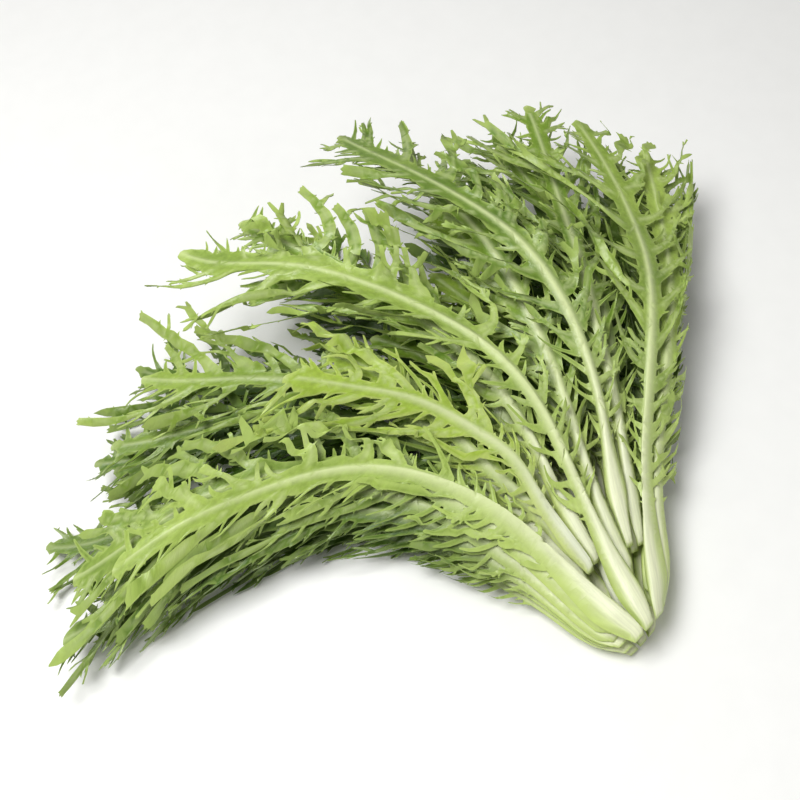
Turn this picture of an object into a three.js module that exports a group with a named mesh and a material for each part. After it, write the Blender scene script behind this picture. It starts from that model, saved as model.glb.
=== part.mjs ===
// Curly endive head (frisee), as cut, lying on its side with its leaves spread in a fan.
// Millimetres. +Y runs from the butt to the leaf tips along the middle of the fan, +X across
// the fan, and +Z up from the surface that the head lies on. The origin is under the middle
// of the head, on that surface.
//
// The head is a short solid crown with leaves all round it. A leaf has a thick pale stalk,
// which goes on as its rib, and a thin blade cut nearly to the rib into pointed lobes. Each
// leaf keeps to a cell of its own in the head: a place across the fan and a layer of its
// height. Cells don't cross, so leaves don't either.
import * as THREE from "three";

// Driving sizes of the head
const LEAF_LENGTH = 310; // butt to tip of the longest leaves, along the rib
const BUTT_RADIUS = 19; // the bundle of stalks where it is cut
const BUTT_HEIGHT = 38; // height of the bundle at the cut
const FULL_HEIGHT = 104; // height of the fan at its thickest
const FULL_AT = 205; // distance from the butt where it is that high
const TIP_DROOP = 16; // how far the fan sinks again towards the tips
const SIDE_SINK = { left: 0.42, right: 0.3 }; // share of its height that the fan loses there
const LEFT_DROOP = 0.42; // share of their height that the tips at the left edge keep
const FAN_HALF_BASE = THREE.MathUtils.degToRad(36); // half the fan's angle near the butt
const FAN_HALF_TIP = THREE.MathUtils.degToRad(54); // and at the tips
// The stalks leave the butt off to +X, those on top most of all, and arch back to -X.
const FAN_TURN_LOW = THREE.MathUtils.degToRad(13);
const FAN_TURN_HIGH = THREE.MathUtils.degToRad(20);
const FAN_SPREADS = [90, 300]; // distances between which the fan opens and turns back
const TUCK = 0.8; // the stalks' feet close in to this share of the butt's width
const TUCK_FROM_TO = [-5, 14]; // distances from the butt in which they do

// The fan's upper side isn't smooth: it swells and dips by this share of its height.
const SWELL = 0.1;
const SWELL_LENGTH = 34; // along the leaves, from a rise to a dip, as the angle's divisor
const SWELLS_ACROSS = 4.6;

// Driving sizes of the crown
const CROWN_RADIUS = 8;
const CROWN_LENGTH = 46; // butt to the growing point
const CROWN_FROM = 1; // butt to the cut end, which lies in among the stalks' feet
const CROWN_BEVEL = { length: 1.5, radius: 0.86 }; // the cut end's edge
const CROWN_SIDES = 14;
const CROWN_STATIONS = 8;
const CROWN_GAP = 0.7; // between the crown and the foot of a stalk

// Leaves in each layer, from the lowest layer to the highest.
const LAYERS = [5, 6, 6, 6, 6, 6, 6, 5];
const HEART_REACH = 0.66; // leaves at the middle of the head are this much of the others
const SIDE_REACH = { left: 0.88, right: 0.87 }; // leaves at the sides of the fan
const SHORTEST = 0.9; // of the length that a leaf's place gives it
// On top the head opens to the left of its middle, and short heart leaves show there.
const OPENING = { across: [-0.56, -0.2], layer: 0.5, reach: [0.5, 0.7] };
// Round the crown the outer layers take the most room: a power of the place in the head.
const BUTT_POWER = 1.7;
// In each layer three leaves have broad feet there, and the others come up between them.
const BROAD_FEET = 3;
const SMALL_FOOT = 0.1; // their cells have this share of a broad foot's width at the butt
const FOOT_UNEVEN = 0.5; // how far the feet are off even, as a share of their width
const FOOT_ROOM = 2.4; // half the width of its cell where such a leaf's foot lies
const BUTT_TO = 110; // distance from the butt where all cells have the same room
const CELL_UNEVEN = 0.26; // how far the bounds between neighbours are off even, in cells
const CELL_DRIFT = 0.36; // how far they wander off sideways towards the tips, in cells
const LAYER_SWING = 0.17; // how far a whole layer swings sideways, as a share of half the fan
const DRIFT_FROM_TO = [50, 290];
const FOOT_FROM = -3; // where the feet of the outermost stalks lie, from the butt
const LAYER_GAP = 0.5; // kept free between layers at the butt
const CELL_GAP = 1.2; // kept free between neighbours in a layer

// Driving sizes of a leaf
const STALK_HALF = { outer: 7.4, middle: 5.2, heart: 3.6 }; // half a stalk's width at its foot
const STALK_HALF_END = 2.9; // where the blade starts
const STALK_NARROWS = [0.02, 0.24]; // shares of the leaf's length between which it narrows
const FOOT_HALF = 0.55; // the foot rounds in to this share of the stalk's width
const FOOT_ROUND = 0.025; // share of the leaf's length in which it does
const STALK_THICK = { outer: 4.8, middle: 3.6, heart: 2.8 };
const RIB_THICK_TIP = 1.1;
const BLADE_THICK = 0.75;
const WING_HALF = [3.4, 7.2]; // uncut blade each side of the rib, in the middle of the blade
const HEART_WING = 0.8; // heart leaves have this share of it
const END_LOBE_HALF = 5.2; // half the width of the leaf's end lobe
const LOBE_REACH = 42; // rib to the point of a full lobe
const LOBE_PAIRS = 10;
const LOBES_FROM = 0.22; // share of the leaf's length where the first lobes stand
const LOBES_TO = 0.96;
const LOBE_SHARE = 0.4; // share of a lobe's pitch that its foot takes
const LOBE_LEAN = 0.75; // how far a lobe's point lies ahead of its foot, as a share of its reach
const LOBE_CURL = 0.6; // how far lobes rise or fall, as a share of the leaf's layer
const ROLL = 0.6; // how far a leaf turns over to one side, as a share of its layer
// Lobes of the top layer have nothing over them, and rise out of it by these shares of it.
const TOP_RISE = 2;
const TOP_LIMIT = 3.2;
const REST_LIFT = 0.5; // lobes of the lowest layer only rise, by this share of their curl
const SWAY = 0.3; // how far a rib swings off the middle of its cell, as a share of it
const SWAY_TURNS = 5; // how fast it does along the leaf, in radians
const STALK_STATIONS = 3;
// The lowest leaf is pressed flat here, under the head's weight, as shares of its length.
const REST_FROM_TO = [0.44, 0.53];

const SEED = 4711;
const LEAF_GREEN = { outer: 0x6f9a3c, middle: 0x88ac4e, heart: 0xb4c862 };
const CROWN_COLOUR = 0xe9ecd2;

// The same row of draws for the same seed, each from 0 to 1.
function draws(seed) {
  let state = (seed * 7919 + 104729) % 2147483647;
  return () => {
    state = (state * 48271) % 2147483647;
    return state / 2147483647;
  };
}

// 0 below from, 1 above to, and smooth between them.
function ease(value, from, to) {
  const share = Math.min(1, Math.max(0, (value - from) / (to - from)));
  return share * share * (3 - 2 * share);
}

function mix(a, b, share) {
  return a + (b - a) * share;
}

// Half the fan's angle at a distance from the butt.
function fanHalf(along) {
  return mix(FAN_HALF_BASE, FAN_HALF_TIP, ease(along, ...FAN_SPREADS));
}

// Height of the head at a distance from the butt, in the middle of the fan.
function height(along) {
  const rise = ease(along, 8, FULL_AT) * (FULL_HEIGHT - BUTT_HEIGHT);
  return BUTT_HEIGHT + rise - TIP_DROOP * ease(along, FULL_AT + 10, LEAF_LENGTH + 25);
}

// How much a layer narrows away from the middle of the height, and sinks away from the middle
// of the fan. At the butt the layers make a round bundle, and underneath the fan is flat.
function roundX(along, layer) {
  return Math.sqrt(1 - layer * layer * mix(0.5, 0.14, ease(along, 40, 190)));
}
function roundZ(across, layer) {
  return Math.sqrt(1 - across * across * (layer > 0 ? 0.5 : 0.12));
}

// The share of the full height that the fan has at a place: less at its sides, with swells.
function heightShare(along, a) {
  const side = (a < 0 ? SIDE_SINK.left : SIDE_SINK.right) * a * a * ease(along, 40, FULL_AT);
  const swell = Math.sin(SWELLS_ACROSS * a + 1.1) * Math.sin(along / SWELL_LENGTH + 2 * a);
  const droop = mix(1, LEFT_DROOP, ease(-a, 0.35, 0.95) * ease(along, 205, LEAF_LENGTH));
  return (1 - side) * (1 + SWELL * swell * ease(along, 70, FULL_AT)) * droop;
}

// How far the bundle closes in at its end, where the feet of the stalks round off the butt.
function tuck(along) {
  return mix(TUCK, 1, ease(along, ...TUCK_FROM_TO));
}

// A point of the head. across and layer go from -1 to 1, and along is the distance from the
// butt. Where across and layer are both within 1 the head is a round bundle at the butt and a
// domed fan further out.
function place(along, across, layer) {
  const a = across * roundX(along, layer);
  const turn = mix(FAN_TURN_LOW, FAN_TURN_HIGH, (layer + 1) / 2);
  const angle = turn * (1 - ease(along, ...FAN_SPREADS)) + fanHalf(along) * a;
  const rise = layer * roundZ(across, layer) * tuck(along);
  return new THREE.Vector3(
    BUTT_RADIUS * tuck(along) * a + along * Math.sin(angle),
    along * Math.cos(angle),
    (height(along) / 2) * heightShare(along, a) * (1 + rise),
  );
}

// Millimetres to one unit of across, and to one unit of layer, at a place in the head.
function acrossScale(along, layer) {
  return (BUTT_RADIUS * tuck(along) + along * fanHalf(along)) * roundX(along, layer);
}
function layerScale(along, across, layer) {
  const a = across * roundX(along, layer);
  return (height(along) / 2) * heightShare(along, a) * roundZ(across, layer) * tuck(along);
}

function crownRadius(along) {
  return CROWN_RADIUS * Math.sqrt(Math.max(0, 1 - along / CROWN_LENGTH));
}

// The room that a leaf's cell has across the fan and in height, at a distance from the butt.
function room(cell, along) {
  const out = ease(along, 0, BUTT_TO);
  const drift = ease(along, ...DRIFT_FROM_TO);
  const at = ([butt, near, tips]) => mix(butt, near, out) + (tips - near) * drift;
  const power = mix(BUTT_POWER, 1, out);
  const warp = (value) => Math.sign(value) * Math.abs(value) ** power;
  const left = at(cell.left);
  const right = at(cell.right);
  const low = warp(cell.low);
  const high = warp(cell.high);
  return {
    across: (left + right) / 2,
    halfAcross: (right - left) / 2,
    layer: (low + high) / 2,
    halfLayer: (high - low) / 2,
  };
}

// The distance from the butt at which a cell of the head comes clear of the crown, and has
// room for a foot.
function footOf(cell) {
  for (let along = FOOT_FROM; along < CROWN_LENGTH + 4; along += 0.5) {
    const { across, halfAcross, layer, halfLayer } = room(cell, along);
    const dx = Math.max(0, Math.abs(across) - halfAcross) * acrossScale(along, layer);
    const dz = Math.max(0, Math.abs(layer) - halfLayer) * layerScale(along, across, layer);
    const clear = Math.hypot(dx, dz) > crownRadius(along) + CROWN_GAP;
    if (clear && halfAcross * acrossScale(along, layer) > FOOT_ROOM) return along;
  }
  return CROWN_LENGTH + 4;
}

// The bounds between the cells of a layer: at the butt, in the middle and at the tips.
function layerBounds(leaves, row, draw) {
  const broad = [0, Math.floor((leaves - (row % 2)) / 2), leaves - 1];
  const feet = BROAD_FEET + (leaves - BROAD_FEET) * SMALL_FOOT;
  const width = 2 / leaves;
  const swing = LAYER_SWING * 2 * (draw() - 0.5);
  const bound = [[-1, -1, -1]];
  let foot = FOOT_UNEVEN * (draw() - 0.5);
  for (let i = 1; i < leaves; i++) {
    foot += broad.includes(i - 1) ? 1 : SMALL_FOOT;
    const near = -1 + width * (i + CELL_UNEVEN * (draw() - 0.5));
    const drift = width * CELL_DRIFT * (draw() - 0.5) + swing * (1 - near * near);
    bound.push([(2 * foot) / feet - 1, near, near + drift]);
  }
  bound.push([1, 1, 1]);
  return bound;
}

// The cells of all the leaves, with each leaf's own sizes.
function leafCells() {
  const cells = [];
  LAYERS.forEach((leaves, row) => {
    const bound = layerBounds(leaves, row, draws(SEED + row));
    for (let column = 0; column < leaves; column++) {
      const draw = draws(SEED + 97 * (row + 1) + column);
      const cell = {
        left: bound[column],
        right: bound[column + 1],
        low: -1 + (2 * row) / LAYERS.length,
        high: -1 + (2 * (row + 1)) / LAYERS.length,
        lowest: row === 0,
        highest: row === LAYERS.length - 1,
        rests: row === 0 && column === (leaves - 1) / 2,
        draw,
      };
      const { across, layer } = room(cell, BUTT_TO);
      const inwards = Math.max(Math.abs(across), Math.abs(layer));
      cell.kind = inwards > 0.72 ? "outer" : inwards > 0.4 ? "middle" : "heart";
      cell.foot = footOf(cell);
      let share = mix(HEART_REACH, 1, ease(inwards, 0.1, 0.62));
      const side = across < 0 ? SIDE_REACH.left : SIDE_REACH.right;
      share *= mix(1, side, ease(Math.abs(across), 0.6, 0.85)) * mix(SHORTEST, 1, draw());
      const open = across > OPENING.across[0] && across < OPENING.across[1];
      if (open && layer > OPENING.layer) {
        cell.kind = "heart";
        share = mix(...OPENING.reach, draw());
      }
      cell.tip = LEAF_LENGTH * share;
      cell.wavePhase = 2 * Math.PI * draw();
      cell.wave = mix(0.1, 0.3, draw());
      cell.width = mix(0.86, 1.12, draw());
      cell.roll = ROLL * 2 * (draw() - 0.5);
      cell.sway = SWAY * 2 * (draw() - 0.5);
      cell.wing = mix(...WING_HALF, draw()) * (cell.kind === "heart" ? HEART_WING : 1);
      cells.push(cell);
    }
  });
  return cells;
}

// A leaf's own numbers along its rib. share goes from 0 at the foot to 1 at the tip.
function halfWidth(cell, share) {
  const foot = mix(FOOT_HALF, 1, ease(share, 0, FOOT_ROUND));
  const stalk = mix(STALK_HALF[cell.kind], STALK_HALF_END, ease(share, ...STALK_NARROWS));
  const wing = (cell.wing - STALK_HALF_END) * ease(share, 0.35, 0.7);
  const end = (END_LOBE_HALF - cell.wing) * ease(share, 0.8, 0.93);
  return stalk * foot + wing + end;
}
function ribThick(cell, share) {
  return mix(STALK_THICK[cell.kind], RIB_THICK_TIP, ease(share, 0.1, 0.85));
}
function lobeReach(share) {
  const grows = mix(0.2, 1, ease(share, LOBES_FROM - 0.05, 0.6));
  return LOBE_REACH * grows * (1 - 0.55 * ease(share, 0.76, LOBES_TO));
}

// A leaf's outline beside its rib, on one side: +1 towards +X, -1 towards -X. Gives the points
// of the uncut edge, and the point of the lobe that stands on the edge after such a point.
function edgeOf(cell, side) {
  const length = cell.tip - cell.foot;
  const pitch = (LOBES_TO - LOBES_FROM) / LOBE_PAIRS;
  const edge = [];
  const stalk = [0, FOOT_ROUND];
  for (let i = 1; i < STALK_STATIONS; i++) {
    stalk.push((i / STALK_STATIONS) * (LOBES_FROM - pitch / 2));
  }
  stalk.forEach((share) => edge.push({ share, reach: halfWidth(cell, share), lift: 0 }));
  for (let i = 0; i < LOBE_PAIRS; i++) {
    const start = LOBES_FROM + pitch * (i + 0.3 * (cell.draw() - 0.5) + (side > 0 ? 0.22 : -0.22));
    const foot = pitch * LOBE_SHARE * mix(0.85, 1.15, cell.draw());
    const reach = lobeReach(start) * cell.width * mix(0.6, 1.15, cell.draw());
    const lean = reach * LOBE_LEAN * mix(0.6, 1.25, cell.draw());
    const curl = (cell.draw() - 0.5) * 2 * LOBE_CURL;
    edge.push({
      share: start,
      reach: halfWidth(cell, start),
      lift: 0,
      lobe: { share: start + foot / 2 + lean / length, reach, lift: curl },
    });
    edge.push({ share: start + foot, reach: halfWidth(cell, start + foot), lift: 0 });
  }
  return edge;
}

// A point of a leaf at a share of its length, millimetres off its rib, and raised within its
// layer by lift (-1 to 1) and by millimetres more.
function leafPoint(cell, share, off, lift, up) {
  const along = mix(cell.foot, cell.tip, share);
  const { across, halfAcross, layer, halfLayer } = room(cell, along);
  const scale = acrossScale(along, layer);
  const open = ease(share, 0.12, 0.45);
  const sway = cell.sway * open * Math.sin(2 * cell.wavePhase + SWAY_TURNS * share);
  const most = halfAcross * (1 - Math.sign(off) * sway) * scale - CELL_GAP / 2;
  const beside = Math.max(-most, Math.min(most, off));
  const at = across + halfAcross * sway + beside / scale;
  const perLayer = layerScale(along, at, layer);
  const free = halfLayer * perLayer - LAYER_GAP / 2;
  const wave = cell.wave * Math.sin(cell.wavePhase + 9 * share);
  const lean = open * (wave + (cell.roll * beside) / Math.max(most, LOBE_REACH));
  let level = free * (lean + lift);
  if (cell.lowest) level = -free + ribThick(cell, share) / 2 + free * REST_LIFT * Math.abs(lift);
  if (cell.highest) level += free * TOP_RISE * open * Math.abs(lift + wave);
  const limit = cell.highest ? free * TOP_LIMIT : free;
  level = Math.max(-free, Math.min(limit, level + up));
  const point = place(along, at, layer + level / perLayer);
  const pressed = cell.rests && up < 0 && share > REST_FROM_TO[0] && share < REST_FROM_TO[1];
  if (pressed && Math.abs(off) < LOBE_REACH / 4) point.z = 0;
  return point;
}

// Triangles between two rows of points that run the same way, as index triples. They turn to
// the left where the second row lies to the right of the first.
function zip(first, second, shareOf) {
  const triangles = [];
  let i = 0;
  let j = 0;
  while (i < first.length - 1 || j < second.length - 1) {
    const ahead = i < first.length - 1 ? shareOf(first[i + 1]) : Infinity;
    const beside = j < second.length - 1 ? shareOf(second[j + 1]) : Infinity;
    if (ahead < beside) {
      triangles.push([first[i], second[j], first[i + 1]]);
      i++;
    } else {
      triangles.push([first[i], second[j], second[j + 1]]);
      j++;
    }
  }
  return triangles;
}

// A closed leaf: the same triangles on the upper and the lower face, and a wall round the cut
// outline.
function leafGeometry(cell) {
  const points = [];
  const add = (share, off, lift, thick) => {
    points.push({ share, off, lift, thick });
    return points.length - 1;
  };
  const shareOf = (index) => points[index].share;
  const ribShares = [0, FOOT_ROUND, 0.1, LOBES_FROM - 0.03];
  for (let i = 1; i < LOBE_PAIRS; i++) {
    ribShares.push(mix(LOBES_FROM, LOBES_TO + 0.01, i / LOBE_PAIRS));
  }
  ribShares.push(1);
  const rib = ribShares.map((share) => add(share, 0, 0, ribThick(cell, share)));

  const face = [];
  const outlines = [1, -1].map((side) => {
    const outline = [];
    const edge = edgeOf(cell, side).map((at) => {
      const index = add(at.share, side * at.reach, at.lift, BLADE_THICK);
      outline.push(index);
      if (at.lobe) {
        outline.push(add(at.lobe.share, side * at.lobe.reach, at.lobe.lift, BLADE_THICK));
      }
      return index;
    });
    zip(rib, edge, shareOf).forEach((t) => face.push(side > 0 ? t : [t[0], t[2], t[1]]));
    outline.forEach((index, i) => {
      const isLobe = !edge.includes(index);
      if (!isLobe) return;
      const t = [outline[i - 1], index, outline[i + 1]];
      face.push(side > 0 ? t : [t[0], t[2], t[1]]);
    });
    return outline;
  });
  const [right, left] = outlines;
  const rim = [rib[0], ...right, rib[rib.length - 1], ...left.reverse()];

  const position = [];
  for (const level of [0.5, -0.5]) {
    for (const p of points) {
      position.push(...leafPoint(cell, p.share, p.off, p.lift, p.thick * level).toArray());
    }
  }
  const under = points.length;
  const index = [];
  face.forEach(([a, b, c]) => index.push(a, b, c, under + a, under + c, under + b));
  rim.forEach((a, i) => {
    const b = rim[(i + 1) % rim.length];
    index.push(a, under + a, b, b, under + a, under + b);
  });
  const geometry = new THREE.BufferGeometry();
  geometry.setAttribute("position", new THREE.Float32BufferAttribute(position, 3));
  geometry.setIndex(index);
  geometry.computeVertexNormals();
  return geometry;
}

// The crown: a round stem that tapers from the cut end to the growing point.
function crownGeometry() {
  const position = [];
  const middle = (along) => place(along, 0, 0);
  const cut = middle(CROWN_FROM);
  position.push(...cut.toArray());
  const ring = (centre, radius) => {
    for (let i = 0; i < CROWN_SIDES; i++) {
      const angle = (2 * Math.PI * (i + 0.5)) / CROWN_SIDES;
      position.push(
        centre.x + radius * Math.cos(angle),
        centre.y,
        centre.z + radius * Math.sin(angle),
      );
    }
  };
  ring(cut, CROWN_RADIUS * CROWN_BEVEL.radius);
  for (let i = 0; i < CROWN_STATIONS; i++) {
    const along = mix(CROWN_FROM + CROWN_BEVEL.length, CROWN_LENGTH, i / CROWN_STATIONS);
    ring(middle(along), crownRadius(along));
  }
  position.push(...middle(CROWN_LENGTH).toArray());
  const last = position.length / 3 - 1;
  const index = [];
  for (let i = 0; i < CROWN_SIDES; i++) {
    const next = (i + 1) % CROWN_SIDES;
    index.push(0, 1 + i, 1 + next);
    for (let row = 0; row < CROWN_STATIONS; row++) {
      const a = 1 + row * CROWN_SIDES;
      const b = a + CROWN_SIDES;
      index.push(a + i, b + i, a + next, a + next, b + i, b + next);
    }
    const top = 1 + CROWN_STATIONS * CROWN_SIDES;
    index.push(top + i, last, top + next);
  }
  const geometry = new THREE.BufferGeometry();
  geometry.setAttribute("position", new THREE.Float32BufferAttribute(position, 3));
  geometry.setIndex(index);
  geometry.computeVertexNormals();
  return geometry;
}

function skin(colour, roughness) {
  return new THREE.MeshStandardMaterial({ color: colour, roughness, metalness: 0 });
}

function namedMesh(name, geometry, material) {
  const mesh = new THREE.Mesh(geometry, material);
  mesh.name = name;
  return mesh;
}

const head = new THREE.Group();
head.add(namedMesh("crown", crownGeometry(), skin(CROWN_COLOUR, 0.6)));
const counts = {};
for (const cell of leafCells()) {
  counts[cell.kind] = (counts[cell.kind] || 0) + 1;
  const name = `${cell.kind}_leaf_${String(counts[cell.kind]).padStart(2, "0")}`;
  head.add(namedMesh(name, leafGeometry(cell), skin(LEAF_GREEN[cell.kind], 0.55)));
}

// The origin goes under the middle of the head's box.
const box = new THREE.Box3().setFromObject(head);
head.position.set(-(box.min.x + box.max.x) / 2, -(box.min.y + box.max.y) / 2, -box.min.z);

export default head;
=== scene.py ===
"""Curly endive head (frisee), lying on its side with its leaves spread in a fan.

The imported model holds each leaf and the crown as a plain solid. Here every one of them is made
again in the same place, from the same layout, with a fine cut outline, curled lobes, a raised
rib and the finish of a fresh leaf. Lengths are in millimetres until a mesh is made.
"""

import logging
import math
from collections.abc import Sequence
from dataclasses import dataclass, field
from enum import Enum

import bpy
import numpy as np
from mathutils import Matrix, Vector
from mathutils.geometry import delaunay_2d_cdt


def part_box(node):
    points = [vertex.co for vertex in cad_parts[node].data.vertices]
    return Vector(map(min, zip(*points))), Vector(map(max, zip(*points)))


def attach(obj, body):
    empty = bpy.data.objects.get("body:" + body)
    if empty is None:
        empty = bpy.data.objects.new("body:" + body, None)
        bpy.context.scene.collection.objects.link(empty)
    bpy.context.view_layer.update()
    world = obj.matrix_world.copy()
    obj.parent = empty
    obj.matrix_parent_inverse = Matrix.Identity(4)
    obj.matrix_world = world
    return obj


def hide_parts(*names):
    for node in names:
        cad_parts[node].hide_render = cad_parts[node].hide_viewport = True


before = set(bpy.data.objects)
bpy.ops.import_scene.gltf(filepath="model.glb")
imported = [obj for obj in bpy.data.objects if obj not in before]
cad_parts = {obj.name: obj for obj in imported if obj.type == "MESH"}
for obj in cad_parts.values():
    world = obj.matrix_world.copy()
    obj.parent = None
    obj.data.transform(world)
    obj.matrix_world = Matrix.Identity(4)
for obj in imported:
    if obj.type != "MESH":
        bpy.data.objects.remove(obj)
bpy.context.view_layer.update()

log = logging.getLogger("curly_endive")
MM = 0.001


def ease(value: np.ndarray | float, low: float, high: float) -> np.ndarray | float:
    """Goes smoothly from 0 below low to 1 above high.

    Args:
        value: what to ease, a number or an array.
        low: where the result leaves 0.
        high: where it reaches 1.

    Returns:
        The eased share, of the same kind as value.
    """
    share = np.clip((value - low) / (high - low), 0.0, 1.0)
    return share * share * (3 - 2 * share)


def mix(
    first: np.ndarray | float, second: np.ndarray | float, share: np.ndarray | float
) -> np.ndarray | float:
    """Returns first at a share of 0, second at a share of 1."""
    return first + (second - first) * share


def linear(code: str) -> tuple[float, float, float, float]:
    """Turns an sRGB hex colour into linear light.

    Args:
        code: six hex digits after a hash.

    Returns:
        Red, green, blue and an alpha of 1.
    """
    channels = [int(code[i : i + 2], 16) / 255 for i in (1, 3, 5)]
    light = [c / 12.92 if c <= 0.04045 else ((c + 0.055) / 1.055) ** 2.4 for c in channels]
    return (*light, 1.0)


def make_piece(
    name: str,
    points: np.ndarray,
    faces: list[Sequence[int]],
    facts: dict[str, np.ndarray],
    sharp: float,
) -> bpy.types.Object:
    """Makes a smooth mesh object in the scene.

    Args:
        name: the piece's name.
        points: its points in the row frame, in metres.
        faces: the corners of each face.
        facts: what its finish reads, a value or a vector for each point.
        sharp: the angle from which an edge shows as sharp.

    Returns:
        The piece.
    """
    mesh = bpy.data.meshes.new(name)
    mesh.from_pydata(points.tolist(), [], faces)
    for fact, values in facts.items():
        kind, key = ("FLOAT", "value") if values.ndim == 1 else ("FLOAT_VECTOR", "vector")
        made = mesh.attributes.new(fact, kind, "POINT")
        made.data.foreach_set(key, values.astype(np.float32).ravel())
    mesh.shade_smooth()
    mesh.set_sharp_from_angle(angle=sharp)
    piece = bpy.data.objects.new(name, mesh)
    bpy.context.scene.collection.objects.link(piece)
    return piece


class Kind(Enum):
    """Where in the head a leaf grows, which sets its size and its colour."""

    OUTER = "outer"
    MIDDLE = "middle"
    HEART = "heart"


class LobeEnd(Enum):
    """How a lobe of the blade ends."""

    BLUNT = "blunt, with small teeth"
    FORKED = "forked in two"
    POINTED = "pointed"


class Draws:
    """A seeded row of draws from 0 to 1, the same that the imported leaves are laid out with."""

    def __init__(self, seed: int) -> None:
        """Starts the row at its seed."""
        self.state = (seed * 7919 + 104729) % 2147483647

    def next(self) -> float:
        """Returns the next draw."""
        self.state = self.state * 48271 % 2147483647
        return self.state / 2147483647


@dataclass
class Lobe:
    """One lobe of a blade, in millimetres along the leaf and off its rib."""

    side: int
    start: float
    foot: float
    reach: float
    lean: float
    lift: float
    root: float = 0.0
    hook: float = 0.0
    tip_lift: float = 0.0
    twist: float = 0.0
    half: float = 2.2
    spread: float = 6.5
    end: LobeEnd = LobeEnd.BLUNT

    def axis(self, t: np.ndarray) -> tuple[np.ndarray, np.ndarray]:
        """Gives the lobe's middle line.

        Args:
            t: shares from 0 at the lobe's root to 1 at its tip.

        Returns:
            Places along the leaf, and distances off its rib.
        """
        x0 = self.start + self.foot / 2
        x1 = x0 + self.lean * (0.28 + self.hook)
        x2 = x0 + self.lean
        y1 = self.root + (self.reach - self.root) * 0.55
        x = (1 - t) ** 2 * x0 + 2 * t * (1 - t) * x1 + t * t * x2
        y = (1 - t) ** 2 * self.root + 2 * t * (1 - t) * y1 + t * t * self.reach
        return x, y

    def share_at(self, off: np.ndarray) -> np.ndarray:
        """Returns the share of the middle line at a distance off the rib.

        Args:
            off: distances off the rib.

        Returns:
            Shares of the lobe's middle line, up to a little past its tip.
        """
        y1 = self.root + (self.reach - self.root) * 0.55
        a = self.root - 2 * y1 + self.reach
        b = 2 * (y1 - self.root)
        c = self.root - off
        inside = np.maximum(b * b - 4 * a * c, 0.0)
        root = 2 * -c / (b + np.sqrt(inside))
        return np.clip(root, 0.0, 1.15)


@dataclass
class Cell:
    """The room that one leaf has in the head, with the leaf's own sizes."""

    left: tuple[float, float, float]
    right: tuple[float, float, float]
    low: float
    high: float
    lowest: bool
    highest: bool
    seed: int
    kind: Kind = Kind.OUTER
    foot: float = 0.0
    tip: float = 0.0
    wave_phase: float = 0.0
    wave: float = 0.0
    width: float = 1.0
    roll: float = 0.0
    sway: float = 0.0
    wing: float = 0.0
    lobes: list[Lobe] = field(default_factory=list)
    node: str = ""

    @property
    def length(self) -> float:
        """The leaf's length along its rib."""
        return self.tip - self.foot


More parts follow.
